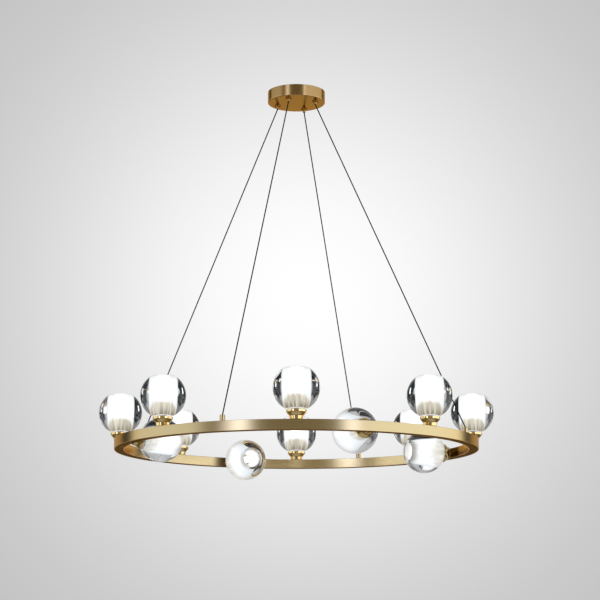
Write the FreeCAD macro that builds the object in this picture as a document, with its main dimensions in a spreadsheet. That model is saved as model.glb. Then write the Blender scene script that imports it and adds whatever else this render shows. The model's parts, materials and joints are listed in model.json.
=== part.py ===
import FreeCAD, Part

# Ring chandelier: a brass channel ring hung from a round ceiling canopy on four straight
# cables. Eight glass orb lamps stand on the ring and four more lie inside it.
# Millimetres, +Z up. The origin is on the ceiling, at the centre of the canopy.

import os
import re

import Sketcher
from FreeCAD import Placement, Rotation, Vector

# ------------------------------------------------------------------ driving sizes
# Each becomes one cell of the sheet, with this word as its alias.
SIZES = {
    # Ring: an inverted channel closed by a flat cover
    "ring_outer_radius": 421.0,
    "ring_width": 24.0,
    "ring_height": 22.0,
    "ring_wall": 2.0,
    "ring_edge": 0.6,
    "cover_thickness": 2.0,
    "cover_clearance": 0.3,
    # Canopy and its ceiling bracket
    "canopy_radius": 68.5,
    "canopy_height": 27.0,
    "canopy_wall": 1.5,
    "canopy_edge": 1.6,
    "bracket_width": 22.0,
    "bracket_thickness": 2.0,
    "bracket_clearance": 1.6,
    "bracket_ear_drop": 16.0,
    "slot_spacing": 70.0,
    "slot_radius": 2.5,
    "slot_length": 14.0,
    "side_screw_radius": 2.0,
    "side_screw_length": 7.0,
    "side_screw_recess": 0.3,
    "side_screw_slot": 0.8,
    "terminal_radius": 16.0,
    "terminal_height": 12.0,
    # Suspension
    "ring_drop": 827.0,
    "cable_radius": 1.1,
    "gland_circle_radius": 49.0,
    "gland_flange_radius": 7.0,
    "gland_flange_height": 2.5,
    "gland_nozzle_height": 6.5,
    "gland_root_radius": 3.9,
    "gland_tip_radius": 3.1,
    "gland_thread_radius": 4.0,
    "gland_bore_radius": 2.1,
    "gland_nut_height": 3.5,
    "gland_nut_circumradius": 6.9,
    "lead_bend_radius": 6.0,
    "post_radius": 6.0,
    "post_height": 13.6,
    "post_edge": 0.8,
    "post_stud_radius": 3.0,
    "post_nut_height": 4.0,
    "post_nut_circumradius": 5.8,
    "cable_socket_depth": 7.0,
    "cable_socket_clearance": 0.5,
    "cable_end_clearance": 1.2,
    # Lamp, measured along its own axis from the face of the ring that carries it
    "orb_radius": 50.0,
    "orb_gap": 17.0,
    "orb_foot_radius": 17.0,
    "orb_flat_radius": 26.5,
    "orb_bore_radius": 21.0,
    "orb_web": 6.0,
    "cup_base_radius": 13.8,
    "cup_neck_radius": 15.6,
    "cup_shoulder_radius": 20.4,
    "cup_rim_radius": 22.0,
    "cup_neck_height": 8.0,
    "cup_shoulder_height": 13.0,
    "cup_rim_height": 20.0,
    "cup_wall": 1.4,
    "cup_floor": 2.5,
    "gasket_thickness": 1.5,
    "liner_clearance": 0.3,
    "liner_wall": 1.8,
    "liner_floor": 2.0,
    "liner_recess": 0.8,
    "clamp_width": 5.0,
    "clamp_height": 16.0,
    "socket_radius": 12.5,
    "socket_length": 48.0,
    "socket_edge": 2.0,
    "socket_clearance": 0.8,
    "nipple_radius": 5.0,
    "nipple_bore_radius": 3.3,
    "nipple_engagement": 4.0,
    "nipple_tail": 2.5,
    "locknut_height": 3.5,
    "locknut_circumradius": 8.0,
    # Bulb: a capsule on a collar, with two flat pins
    "bulb_collar_radius": 8.5,
    "bulb_collar_height": 14.0,
    "bulb_radius": 7.2,
    "bulb_length": 44.0,
    "pin_spacing": 9.0,
    "pin_width": 5.0,
    "pin_thickness": 0.9,
    "pin_length": 8.0,
    "pin_clearance": 0.3,
    # Cover fixings and wiring in the ring
    "standoff_radius": 3.0,
    "cover_screw_radius": 1.5,
    "cover_screw_head_radius": 2.9,
    "cover_screw_head_height": 1.4,
    "cover_screw_length": 9.0,
    "harness_radius": 2.0,
    "hole_clearance": 0.1,
    "seat_gap": 0.3,
}

# Sizes that follow from the ones above, as formulas in the same words.
DERIVED = {
    "ring_inner_radius": "ring_outer_radius - ring_width",
    "ring_middle_radius": "ring_outer_radius - ring_width / 2",
    "ring_middle_level": "-canopy_height - ring_drop",
    "ring_top_level": "ring_middle_level + ring_height / 2",
    "ring_bottom_level": "ring_middle_level - ring_height / 2",
    "channel_outer_radius": "ring_outer_radius - ring_wall",
    "channel_inner_radius": "ring_inner_radius + ring_wall",
    "channel_height": "ring_height - ring_wall - cover_thickness",
    "standoff_circle_radius": "ring_middle_radius - ring_width / 6",
    "harness_circle_radius": "ring_middle_radius + ring_width / 5",
    "inward_seat_radius": "sqrt(ring_inner_radius ^ 2 - cup_base_radius ^ 2)",
    "gland_length": "gland_flange_height + gland_nozzle_height",
    "gland_tip_level": "-canopy_height - gland_length",
    "cable_start_radius": "gland_circle_radius",
    "post_top_level": "ring_top_level + post_height",
    "cable_drop": "gland_tip_level - post_top_level",
    "cable_spread": "ring_middle_radius - cable_start_radius",
    "cable_reach": "sqrt(cable_drop ^ 2 + cable_spread ^ 2)",
    "cable_socket_radius": "cable_radius + cable_socket_clearance",
    "ear_outer_reach": "canopy_radius - canopy_wall - bracket_clearance",
    "side_screw_level": "-bracket_thickness - bracket_ear_drop / 2",
    "lead_level": "-bracket_thickness - terminal_height / 2",
    "lamp_standoff": "orb_radius + orb_gap",
    "orb_foot_height": "lamp_standoff - sqrt(orb_radius ^ 2 - orb_foot_radius ^ 2)",
    "orb_flat_height": "lamp_standoff + sqrt(orb_radius ^ 2 - orb_flat_radius ^ 2)",
    "orb_floor_height": "orb_foot_height + orb_web",
    "cup_ledge_height": "orb_foot_height - gasket_thickness",
    "cup_well_radius": "socket_radius + socket_clearance",
    "clamp_base_height": "orb_floor_height + liner_floor",
    "socket_base_height": "cup_floor + locknut_height",
    "socket_top_height": "socket_base_height + socket_length",
    "bulb_base_height": "socket_top_height + seat_gap",
    "wall_grip": "ring_wall + ring_inner_radius - inward_seat_radius",
    "nipple_depth": "wall_grip + locknut_height + nipple_tail",
    "nipple_length": "nipple_depth + socket_base_height + nipple_engagement",
}

# ------------------------------------------------------------------ counts and angles
UPRIGHT_LAMPS = 8
INWARD_LAMPS = 4
CABLES = 4
COVER_FIXINGS = 8
INWARD_LAMP_ANGLE = 22.5
CABLE_ANGLE = 67.5
COVER_FIXING_ANGLE = 11.25
FULL_TURN = 360.0
QUARTER_TURN = 90.0
HALF_TURN = 180.0

doc = FreeCAD.newDocument("orb_chandelier")
sheet = doc.addObject("Spreadsheet::Sheet", "Sizes")
for row, (alias, size) in enumerate(SIZES.items(), start=1):
    sheet.set("A%d" % row, alias.replace("_", " "))
    sheet.set("B%d" % row, str(size))
    sheet.setAlias("B%d" % row, alias)
doc.recompute()


# ------------------------------------------------------------------ small tools
def formula(text):
    """Spell an expression out in cells of the sheet. Every size's word has an underscore."""

    def cell(match):
        word = match.group(0)
        if word in DERIVED:
            return "(" + formula(DERIVED[word]) + ")"
        return "Sizes." + word

    return re.sub(r"[a-z]+(?:_[a-z]+)+", cell, text)


def value(text):
    """The number that an expression stands for now."""
    return float(sheet.evalExpression(formula(text)))


def around(count, start=0.0):
    """The angles of count equal steps round the vertical axis."""
    return [start + FULL_TURN * step / count for step in range(count)]


def place(piece, radius="0", angle=0.0, height="0", tilt=0.0):
    """Seat a piece at a radius, angle and height, leaned in towards the axis by tilt."""
    turn = Rotation(Vector(0, 0, 1), angle) * Rotation(Vector(0, 1, 0), -tilt)
    piece.Placement = Placement(Vector(0, 0, 0), turn)
    piece.setExpression("Placement.Base.x", formula("(%s) * cos(%s deg)" % (radius, angle)))
    piece.setExpression("Placement.Base.y", formula("(%s) * sin(%s deg)" % (radius, angle)))
    piece.setExpression("Placement.Base.z", formula(height))
    return piece


def primitive(kind, name, height="0", **sizes):
    """A Part primitive with its sizes bound to the sheet, raised to a height on the Z axis."""
    piece = doc.addObject("Part::" + kind, name)
    for size, text in sizes.items():
        piece.setExpression(size, formula(text))
    piece.setExpression("Placement.Base.z", formula(height))
    return piece


def outline(body, name, role, corners):
    """A closed sketch on one of the body's own planes, with every corner bound to the sheet."""
    plane = [feature for feature in body.Origin.OriginFeatures if feature.Role == role][0]
    sketch = body.newObject("Sketcher::SketchObject", name)
    sketch.AttachmentSupport = [(plane, "")]
    sketch.MapMode = "FlatFace"
    points = [Vector(value(across), value(up), 0) for across, up in corners]
    for index, point in enumerate(points):
        sketch.addGeometry(Part.LineSegment(point, points[(index + 1) % len(points)]))
    for index, (point, (across, up)) in enumerate(zip(points, corners)):
        sketch.addConstraint(
            Sketcher.Constraint("Coincident", index, 2, (index + 1) % len(points), 1)
        )
        for way, text, size in (("DistanceX", across, point.x), ("DistanceY", up, point.y)):
            if text == "0":
                axis = -2 if way == "DistanceX" else -1
                sketch.addConstraint(Sketcher.Constraint("PointOnObject", index, 1, axis))
            else:
                number = sketch.addConstraint(Sketcher.Constraint(way, -1, 1, index, 1, size))
                sketch.setExpression("Constraints[%d]" % number, formula(text))
    return sketch


def turned(name, corners):
    """A body turned about its own Z axis; each corner of its section is (radius, height)."""
    body = doc.addObject("PartDesign::Body", name)
    sketch = outline(body, name + "_section", "XZ_Plane", corners)
    turn = body.newObject("PartDesign::Revolution", name + "_turn")
    turn.Profile = sketch
    turn.ReferenceAxis = (sketch, ["V_Axis"])
    turn.Angle = FULL_TURN
    return body


def cut(name, base, *tools):
    """A piece with the tools cut out of it."""
    piece = doc.addObject("Part::Cut", name)
    piece.Base = base
    if len(tools) == 1:
        piece.Tool = tools[0]
    else:
        piece.Tool = doc.addObject("Part::MultiFuse", name + "_tools")
        piece.Tool.Shapes = list(tools)
    return piece


def copies(name, master, seats):
    """One node of separate solids: a linked copy of the master on each seat."""
    links = []
    for number, seat in enumerate(seats, start=1):
        link = doc.addObject("App::Link", "%s_%d" % (name, number))
        link.LinkedObject = master
        links.append(place(link, **seat))
    group = doc.addObject("Part::Compound", name)
    group.Links = links
    return group


nodes = []


def node(name, piece):
    """Name a finished sub-part, which gives its file its name."""
    piece.Label = name
    nodes.append(piece)
    return piece


# ------------------------------------------------------------------ where things sit
# A flat-based cup meets the ring's hollow inner face along its edges, so the inward lamps
# sit a little inside that face, and every locknut leaves the same small grip behind it.
upright_seats = [
    {"radius": "ring_middle_radius", "angle": angle, "height": "ring_top_level"}
    for angle in around(UPRIGHT_LAMPS)
]
inward_seats = [
    {
        "radius": "inward_seat_radius",
        "angle": angle,
        "height": "ring_middle_level",
        "tilt": QUARTER_TURN,
    }
    for angle in around(INWARD_LAMPS, INWARD_LAMP_ANGLE)
]
post_seats = [
    {"radius": "ring_middle_radius", "angle": angle, "height": "ring_top_level"}
    for angle in around(CABLES, CABLE_ANGLE)
]
gland_seats = [
    {"radius": "gland_circle_radius", "angle": angle, "height": "gland_tip_level"}
    for angle in around(CABLES, CABLE_ANGLE)
]
fixing_seats = [
    {"radius": "standoff_circle_radius", "angle": angle, "height": "ring_bottom_level"}
    for angle in around(COVER_FIXINGS, COVER_FIXING_ANGLE)
]
lamp_seats = upright_seats + inward_seats
lamp_names = ["up_%d" % number for number in range(1, UPRIGHT_LAMPS + 1)]
lamp_names += ["in_%d" % number for number in range(1, INWARD_LAMPS + 1)]


# ------------------------------------------------------------------ the lamp's pieces
def glass_orb(name):
    """A solid ball cut flat at foot and mouth, bored for the liner down to a thick web."""
    ball = primitive(
        "Sphere",
        name + "_ball",
        height="lamp_standoff",
        Radius="orb_radius",
        Angle1="-acos(orb_foot_radius / orb_radius)",
        Angle2="acos(orb_flat_radius / orb_radius)",
    )
    bore = primitive(
        "Cylinder",
        name + "_bore",
        height="orb_floor_height",
        Radius="orb_bore_radius",
        Height="orb_radius * 2",
    )
    hole = primitive("Cylinder", name + "_hole", Radius="cup_well_radius", Height="orb_radius")
    return cut(name, ball, bore, hole)


def lamp_cup(name):
    """The stepped brass cup: a necked base, a flared bowl and an upright rim round the ball."""
    return turned(
        name,
        [
            ("nipple_radius + hole_clearance", "0"),
            ("cup_base_radius", "0"),
            ("cup_neck_radius", "cup_neck_height"),
            ("cup_shoulder_radius", "cup_shoulder_height"),
            ("cup_rim_radius", "cup_shoulder_height + cup_floor"),
            ("cup_rim_radius", "cup_rim_height"),
            ("cup_rim_radius - cup_wall", "cup_rim_height"),
            ("cup_rim_radius - cup_wall", "cup_ledge_height"),
            ("cup_well_radius", "cup_ledge_height"),
            ("cup_well_radius", "cup_floor"),
            ("nipple_radius + hole_clearance", "cup_floor"),
        ],
    )


def bulb(name):
    """A round-nosed capsule on a wider collar, with two flat pins below it."""
    collar = primitive(
        "Cylinder",
        name + "_collar",
        height="bulb_base_height",
        Radius="bulb_collar_radius",
        Height="bulb_collar_height",
    )
    stem = primitive(
        "Cylinder",
        name + "_stem",
        height="bulb_base_height",
        Radius="bulb_radius",
        Height="bulb_length - bulb_radius",
    )
    nose = primitive(
        "Sphere",
        name + "_nose",
        height="bulb_base_height + bulb_length - bulb_radius",
        Radius="bulb_radius",
    )
    piece = doc.addObject("Part::MultiFuse", name)
    piece.Shapes = [collar, stem, nose] + pin_pair(name, "0", "bulb_base_height - pin_length")
    return piece


def pin_pair(name, clearance, base):
    """Two flat pins, or with a clearance the slots for them, reaching up past the bulb's base."""
    blades = []
    for side in (-1, 1):
        blade = primitive(
            "Box",
            "%s_pin_%s" % (name, "a" if side < 0 else "b"),
            height=base,
            Length="pin_thickness + 2 * (%s)" % clearance,
            Width="pin_width + 2 * (%s)" % clearance,
            Height="pin_length + pin_width",
        )
        offset = "%d * pin_spacing / 2 - pin_thickness / 2 - (%s)" % (side, clearance)
        blade.setExpression("Placement.Base.x", formula(offset))
        blade.setExpression("Placement.Base.y", formula("-pin_width / 2 - (%s)" % clearance))
        blades.append(blade)
    return blades


for lamp_name, lamp_seat in zip(lamp_names, lamp_seats):
    node("orb_" + lamp_name, place(glass_orb("orb_" + lamp_name), **lamp_seat))
    node("cup_" + lamp_name, place(lamp_cup("cup_" + lamp_name), **lamp_seat))
    node("bulb_" + lamp_name, place(bulb("bulb_" + lamp_name), **lamp_seat))

# The white liner stands in the bore, with its floor held under the clamp ring.
liner = turned(
    "liner",
    [
        ("cup_well_radius", "orb_floor_height"),
        ("orb_bore_radius - liner_clearance", "orb_floor_height"),
        ("orb_bore_radius - liner_clearance", "orb_flat_height - liner_recess"),
        ("orb_bore_radius - liner_clearance - liner_wall", "orb_flat_height - liner_recess"),
        ("orb_bore_radius - liner_clearance - liner_wall", "clamp_base_height"),
        ("cup_well_radius", "clamp_base_height"),
    ],
)
node("lamp_liners", copies("lamp_liners", liner, lamp_seats))

# A soft washer between the cup's ledge and the foot of the ball.
gasket = turned(
    "gasket",
    [
        ("cup_well_radius", "cup_ledge_height"),
        ("orb_foot_radius", "cup_ledge_height"),
        ("orb_foot_radius", "orb_foot_height"),
        ("cup_well_radius", "orb_foot_height"),
    ],
)
node("lamp_gaskets", copies("lamp_gaskets", gasket, lamp_seats))

# The deep clamp ring runs on the socket and pins liner and ball to the cup.
clamp = turned(
    "clamp",
    [
        ("socket_radius", "clamp_base_height"),
        ("socket_radius + clamp_width", "clamp_base_height"),
        ("socket_radius + clamp_width", "clamp_base_height + clamp_height"),
        ("socket_radius", "clamp_base_height + clamp_height"),
    ],
)
node("lamp_clamp_rings", copies("lamp_clamp_rings", clamp, lamp_seats))

# The ceramic socket stands on the nipple, and has a slot for each pin of the bulb.
socket_blank = turned(
    "socket_blank",
    [
        ("nipple_radius", "socket_base_height"),
        ("socket_radius", "socket_base_height"),
        ("socket_radius", "socket_top_height - socket_edge"),
        ("socket_radius - socket_edge", "socket_top_height"),
        ("0", "socket_top_height"),
        ("0", "socket_base_height + nipple_engagement"),
        ("nipple_radius", "socket_base_height + nipple_engagement"),
    ],
)
socket_slots = pin_pair("socket", "pin_clearance", "bulb_base_height - pin_length - seat_gap")
lamp_socket = cut("lamp_socket", socket_blank, *socket_slots)
node("lamp_sockets", copies("lamp_sockets", lamp_socket, lamp_seats))

# The hollow threaded nipple runs from inside the channel, through the cup, to the socket.
nipple_foot = "-(%s)" % DERIVED["nipple_depth"]
nipple = turned(
    "nipple",
    [
        ("nipple_bore_radius", nipple_foot),
        ("nipple_radius", nipple_foot),
        ("nipple_radius", nipple_foot + " + nipple_length"),
        ("nipple_bore_radius", nipple_foot + " + nipple_length"),
    ],
)
node("lamp_nipples", copies("lamp_nipples", nipple, lamp_seats))


def hex_nut(name, circumradius, bore, thickness, height):
    """A hexagonal nut that stands on a height of its own frame."""
    blank = primitive(
        "Prism", name + "_blank", height=height, Circumradius=circumradius, Height=thickness
    )
    blank.Polygon = 6
    hole = primitive("Cylinder", name + "_hole", height=height, Radius=bore, Height=thickness)
    return cut(name, blank, hole)


inner_nut = hex_nut(
    "locknut_in_cup", "locknut_circumradius", "nipple_radius", "locknut_height", "cup_floor"
)
outer_nut = hex_nut(
    "locknut_in_ring",
    "locknut_circumradius",
    "nipple_radius",
    "locknut_height",
    "-wall_grip - locknut_height",
)
nut_pair = doc.addObject("Part::Compound", "locknut_pair")
nut_pair.Links = [inner_nut, outer_nut]
node("lamp_locknuts", copies("lamp_locknuts", nut_pair, lamp_seats))

# ------------------------------------------------------------------ the ring
# The channel is open below. Its outer corners are slightly broken.
channel_blank = turned(
    "channel_blank",
    [
        ("ring_inner_radius + ring_edge", "ring_height"),
        ("ring_inner_radius", "ring_height - ring_edge"),
        ("ring_inner_radius", "0"),
        ("channel_inner_radius", "0"),
        ("channel_inner_radius", "ring_height - ring_wall"),
        ("channel_outer_radius", "ring_height - ring_wall"),
        ("channel_outer_radius", "0"),
        ("ring_outer_radius", "0"),
        ("ring_outer_radius", "ring_height - ring_edge"),
        ("ring_outer_radius - ring_edge", "ring_height"),
    ],
)
place(channel_blank, height="ring_bottom_level")


def drill(name, radius, depth, seat):
    """A drill on a lamp's or post's own axis, reaching depth to each side of its seat."""
    tool = turned(
        name,
        [("0", "-(%s)" % depth), (radius, "-(%s)" % depth), (radius, depth), ("0", depth)],
    )
    return place(tool, **seat)


channel_drills = [
    drill("nipple_drill_%d" % number, "nipple_radius + hole_clearance", "ring_wall * 2", seat)
    for number, seat in enumerate(lamp_seats, start=1)
]
channel_drills += [
    drill("stud_drill_%d" % number, "post_stud_radius + hole_clearance", "ring_wall * 2", seat)
    for number, seat in enumerate(post_seats, start=1)
]
node("ring_channel", cut("ring_channel", channel_blank, *channel_drills))

# The flat cover closes the channel between its walls, flush with their lower edges.
cover_blank = turned(
    "cover_blank",
    [
        ("channel_inner_radius + cover_clearance", "0"),
        ("channel_outer_radius - cover_clearance", "0"),
        ("channel_outer_radius - cover_clearance", "cover_thickness"),
        ("channel_inner_radius + cover_clearance", "cover_thickness"),
    ],
)
place(cover_blank, height="ring_bottom_level")


def countersunk(name, clearance, length):
    """A countersunk screw's form, its flat head down, or with a clearance the drill for it."""
    return turned(
        name,
        [
            ("0", "0"),
            ("cover_screw_head_radius + (%s)" % clearance, "0"),
            ("cover_screw_radius + (%s)" % clearance, "cover_screw_head_height"),
            ("cover_screw_radius + (%s)" % clearance, length),
            ("0", length),
        ],
    )


cover_drills = [
    place(countersunk("cover_drill_%d" % number, "hole_clearance", "cover_thickness * 2"), **seat)
    for number, seat in enumerate(fixing_seats, start=1)
]
node("ring_cover", cut("ring_cover", cover_blank, *cover_drills))

cover_screw = countersunk("cover_screw", "0", "cover_screw_length")
node("cover_screws", copies("cover_screws", cover_screw, fixing_seats))

# Tapped pillars hang from the channel's top wall and take the cover's screws.
standoff = turned(
    "standoff",
    [
        ("cover_screw_radius", "cover_thickness"),
        ("standoff_radius", "cover_thickness"),
        ("standoff_radius", "cover_thickness + channel_height"),
        ("0", "cover_thickness + channel_height"),
        ("0", "cover_screw_length"),
        ("cover_screw_radius", "cover_screw_length"),
    ],
)
node("cover_standoffs", copies("cover_standoffs", standoff, fixing_seats))

# The wiring loop lies on the cover, outside the nuts and pillars.
node(
    "ring_harness",
    primitive(
        "Torus",
        "ring_harness",
        height="ring_bottom_level + cover_thickness + seat_gap + harness_radius",
        Radius1="harness_circle_radius",
        Radius2="harness_radius",
    ),
)

# ------------------------------------------------------------------ cables and their ends
# A cable runs straight from the gland's tip down and out to the top of its post.
cable_slope = value("atan(cable_spread / cable_drop)")


def along_cable(piece, radius, angle, height):
    """Seat a piece with its Z axis down the cable, away from the canopy."""
    return place(piece, radius, angle, height, tilt=cable_slope - HALF_TURN)


cable_length = "cable_reach + cable_socket_depth - cable_end_clearance"
for number, seat in enumerate(gland_seats, start=1):
    cable = primitive("Cylinder", "cable_%d" % number, Radius="cable_radius", Height=cable_length)
    node("cable_%d" % number, along_cable(cable, **seat))

# Each post is a plain pillar with a stud through the channel's top wall. The socket for
# the cable is bored along the cable's own line, from the middle of the post's top.
post_blank = turned(
    "post_blank",
    [
        ("0", "-ring_wall - post_nut_height"),
        ("post_stud_radius", "-ring_wall - post_nut_height"),
        ("post_stud_radius", "0"),
        ("post_radius", "0"),
        ("post_radius", "post_height - post_edge"),
        ("post_radius - post_edge", "post_height"),
        ("0", "post_height"),
    ],
)
post_bore = turned(
    "post_bore",
    [
        ("0", "-cable_socket_depth"),
        ("cable_socket_radius", "-cable_socket_depth"),
        ("cable_socket_radius", "cable_socket_depth"),
        ("0", "cable_socket_depth"),
    ],
)
along_cable(post_bore, "0", 0.0, "post_height")
post = cut("post", post_blank, post_bore)
node("cable_posts", copies("cable_posts", post, post_seats))

post_nut = hex_nut(
    "post_nut",
    "post_nut_circumradius",
    "post_stud_radius",
    "post_nut_height",
    "-ring_wall - post_nut_height",
)
node("post_nuts", copies("post_nuts", post_nut, post_seats))

# The gland: a tapered nozzle under a flange, and a threaded neck up through the canopy.
gland_top = "gland_length + canopy_wall + gland_nut_height"
gland = turned(
    "gland",
    [
        ("gland_bore_radius", "0"),
        ("gland_tip_radius", "0"),
        ("gland_root_radius", "gland_nozzle_height"),
        ("gland_flange_radius", "gland_nozzle_height"),
        ("gland_flange_radius", "gland_length"),
        ("gland_thread_radius", "gland_length"),
        ("gland_thread_radius", gland_top),
        ("gland_bore_radius", gland_top),
    ],
)
node("cable_glands", copies("cable_glands", gland, gland_seats))

gland_nut = hex_nut(
    "gland_nut",
    "gland_nut_circumradius",
    "gland_thread_radius",
    "gland_nut_height",
    "gland_length + canopy_wall",
)
node("gland_nuts", copies("gland_nuts", gland_nut, gland_seats))

# ------------------------------------------------------------------ the canopy
canopy_blank = turned(
    "canopy_blank",
    [
        ("0", "0"),
        ("canopy_radius - canopy_edge", "0"),
        ("canopy_radius", "canopy_edge"),
        ("canopy_radius", "canopy_height"),
        ("canopy_radius - canopy_wall", "canopy_height"),
        ("canopy_radius - canopy_wall", "canopy_edge"),
        ("canopy_radius - canopy_edge - canopy_wall / 2", "canopy_wall"),
        ("0", "canopy_wall"),
    ],
)
place(canopy_blank, height="-canopy_height")
canopy_drills = [
    drill(
        "gland_drill_%d" % number,
        "gland_thread_radius + hole_clearance",
        "gland_length * 2",
        seat,
    )
    for number, seat in enumerate(gland_seats, start=1)
]


def side_rod(name, radius):
    """A rod along X through both side screws."""
    rod = primitive("Cylinder", name, Radius=radius, Height="canopy_radius * 4")
    rod.Placement = Placement(Vector(0, 0, 0), Rotation(Vector(0, 1, 0), QUARTER_TURN))
    rod.setExpression("Placement.Base.x", formula("-canopy_radius * 2"))
    rod.setExpression("Placement.Base.z", formula("side_screw_level"))
    return rod


side_hole = side_rod("side_hole", "side_screw_radius + hole_clearance")
node("canopy_cover", cut("canopy_cover", canopy_blank, side_hole, *canopy_drills))

# The bracket is a strap with both ends turned down, screwed to the ceiling through slots.
strap = doc.addObject("PartDesign::Body", "strap")
strap_section = outline(
    strap,
    "strap_section",
    "XZ_Plane",
    [
        ("-ear_outer_reach", "-bracket_thickness - bracket_ear_drop"),
        ("-ear_outer_reach", "0"),
        ("ear_outer_reach", "0"),
        ("ear_outer_reach", "-bracket_thickness - bracket_ear_drop"),
        ("ear_outer_reach - bracket_thickness", "-bracket_thickness - bracket_ear_drop"),
        ("ear_outer_reach - bracket_thickness", "-bracket_thickness"),
        ("bracket_thickness - ear_outer_reach", "-bracket_thickness"),
        ("bracket_thickness - ear_outer_reach", "-bracket_thickness - bracket_ear_drop"),
    ],
)
strap_pad = strap.newObject("PartDesign::Pad", "strap_pad")
strap_pad.Profile = strap_section
strap_pad.Midplane = True
strap_pad.setExpression("Length", formula("bracket_width"))


def slot(name, side):
    """One fixing slot: a box with a round end at each end, long along X."""
    middle = "%d * slot_spacing / 2" % side
    reach = "(slot_length / 2 - slot_radius)"
    pieces = []
    for end in (-1, 1):
        tag = "left" if end < 0 else "right"
        hole = primitive(
            "Cylinder",
            "%s_%s" % (name, tag),
            height="-bracket_thickness * 2",
            Radius="slot_radius",
            Height="bracket_thickness * 4",
        )
        hole.setExpression("Placement.Base.x", formula("%s + %d * %s" % (middle, end, reach)))
        pieces.append(hole)
    bar = primitive(
        "Box",
        name + "_bar",
        height="-bracket_thickness * 2",
        Length="slot_length - 2 * slot_radius",
        Width="slot_radius * 2",
        Height="bracket_thickness * 4",
    )
    bar.setExpression("Placement.Base.x", formula("%s - %s" % (middle, reach)))
    bar.setExpression("Placement.Base.y", formula("-slot_radius"))
    return pieces + [bar]


ear_hole = side_rod("ear_hole", "side_screw_radius")
slots = slot("slot_a", -1) + slot("slot_b", 1)
node("ceiling_bracket", cut("ceiling_bracket", strap, ear_hole, *slots))

# A slotted screw on each side holds the canopy to the bracket's turned-down ends.
side_screw_blank = turned(
    "side_screw_blank",
    [
        ("0", "0"),
        ("side_screw_radius", "0"),
        ("side_screw_radius", "side_screw_length"),
        ("0", "side_screw_length"),
    ],
)
driver_slot = primitive(
    "Box",
    "driver_slot",
    height="-side_screw_slot",
    Length="side_screw_slot",
    Width="side_screw_radius * 2",
    Height="side_screw_slot * 2",
)
driver_slot.setExpression("Placement.Base.x", formula("-side_screw_slot / 2"))
driver_slot.setExpression("Placement.Base.y", formula("-side_screw_radius"))
side_screw = cut("side_screw", side_screw_blank, driver_slot)
screw_seats = [
    {
        "radius": "canopy_radius - side_screw_recess",
        "angle": angle,
        "height": "side_screw_level",
        "tilt": QUARTER_TURN,
    }
    for angle in around(2)
]
node("canopy_side_screws", copies("canopy_side_screws", side_screw, screw_seats))

# The round terminal block is fixed under the middle of the bracket.
node(
    "terminal_block",
    primitive(
        "Cylinder",
        "terminal_block",
        height="-bracket_thickness - terminal_height",
        Radius="terminal_radius",
        Height="terminal_height",
    ),
)

# The leads go up out of the glands, bend over and run in to the terminal block.
lead = doc.addObject("PartDesign::Body", "lead")
lead_origin = lead.Origin.OriginFeatures
lead_foot = "cable_radius * 2"
lead_top = "lead_level - (%s)" % DERIVED["gland_tip_level"]
lead_run = "gland_circle_radius - terminal_radius"
route = lead.newObject("Sketcher::SketchObject", "lead_route")
route.AttachmentSupport = [([f for f in lead_origin if f.Role == "XZ_Plane"][0], "")]
route.MapMode = "FlatFace"
bend = value("lead_bend_radius")
top = value(lead_top)
bend_centre = Vector(-bend, top - bend, 0)
route.addGeometry(Part.LineSegment(Vector(0, value(lead_foot), 0), Vector(0, top - bend, 0)))
bend_circle = Part.Circle(bend_centre, Vector(0, 0, 1), bend)
route.addGeometry(Part.ArcOfCircle(bend_circle, 0.0, value("pi / 2")))
route.addGeometry(Part.LineSegment(Vector(-bend, top, 0), Vector(-value(lead_run), top, 0)))
route.addConstraint(Sketcher.Constraint("PointOnObject", 0, 1, -2))
route.addConstraint(Sketcher.Constraint("Vertical", 0))
route.addConstraint(Sketcher.Constraint("Horizontal", 2))
route.addConstraint(Sketcher.Constraint("Tangent", 0, 2, 1, 1))
route.addConstraint(Sketcher.Constraint("Tangent", 1, 2, 2, 1))
route_sizes = [
    (Sketcher.Constraint("Radius", 1, bend), "lead_bend_radius"),
    (Sketcher.Constraint("DistanceY", -1, 1, 0, 1, value(lead_foot)), lead_foot),
    (Sketcher.Constraint("DistanceY", -1, 1, 2, 2, top), lead_top),
    (Sketcher.Constraint("DistanceX", 2, 2, -1, 1, value(lead_run)), lead_run),
]
for constraint, text in route_sizes:
    constraint_number = route.addConstraint(constraint)
    route.setExpression("Constraints[%d]" % constraint_number, formula(text))
wire_section = lead.newObject("Sketcher::SketchObject", "lead_section")
wire_section.AttachmentSupport = [([f for f in lead_origin if f.Role == "XY_Plane"][0], "")]
wire_section.MapMode = "FlatFace"
wire_section.setExpression("AttachmentOffset.Base.z", formula(lead_foot))
wire_section.addGeometry(
    Part.Circle(Vector(0, 0, 0), Vector(0, 0, 1), value("cable_radius"))
)
wire_section.addConstraint(Sketcher.Constraint("Coincident", 0, 3, -1, 1))
wire_section.addConstraint(Sketcher.Constraint("Radius", 0, value("cable_radius")))
wire_section.setExpression("Constraints[1]", formula("cable_radius"))
doc.recompute()
lead_pipe = lead.newObject("PartDesign::AdditivePipe", "lead_pipe")
lead_pipe.Profile = wire_section
lead_pipe.Spine = route
node("canopy_leads", copies("canopy_leads", lead, gland_seats))

# ------------------------------------------------------------------ check and write
doc.recompute()
for piece in doc.Objects:
    if "Invalid" in piece.State or "Error" in piece.State:
        raise RuntimeError("%s did not compute" % piece.Label)
for piece in nodes:
    shape = piece.Shape
    if shape.isNull() or not shape.isValid() or not shape.Solids:
        raise RuntimeError("%s has no valid solid" % piece.Label)

os.makedirs("parts", exist_ok=True)
for piece in nodes:
    piece.Shape.exportStep("parts/%s.step" % piece.Label)
    print(
        "%-20s %3d solids %12.1f mm3" % (piece.Label, len(piece.Shape.Solids), piece.Shape.Volume)
    )
print("%d nodes, cables %.1f mm long" % (len(nodes), value(cable_length)))
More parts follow.
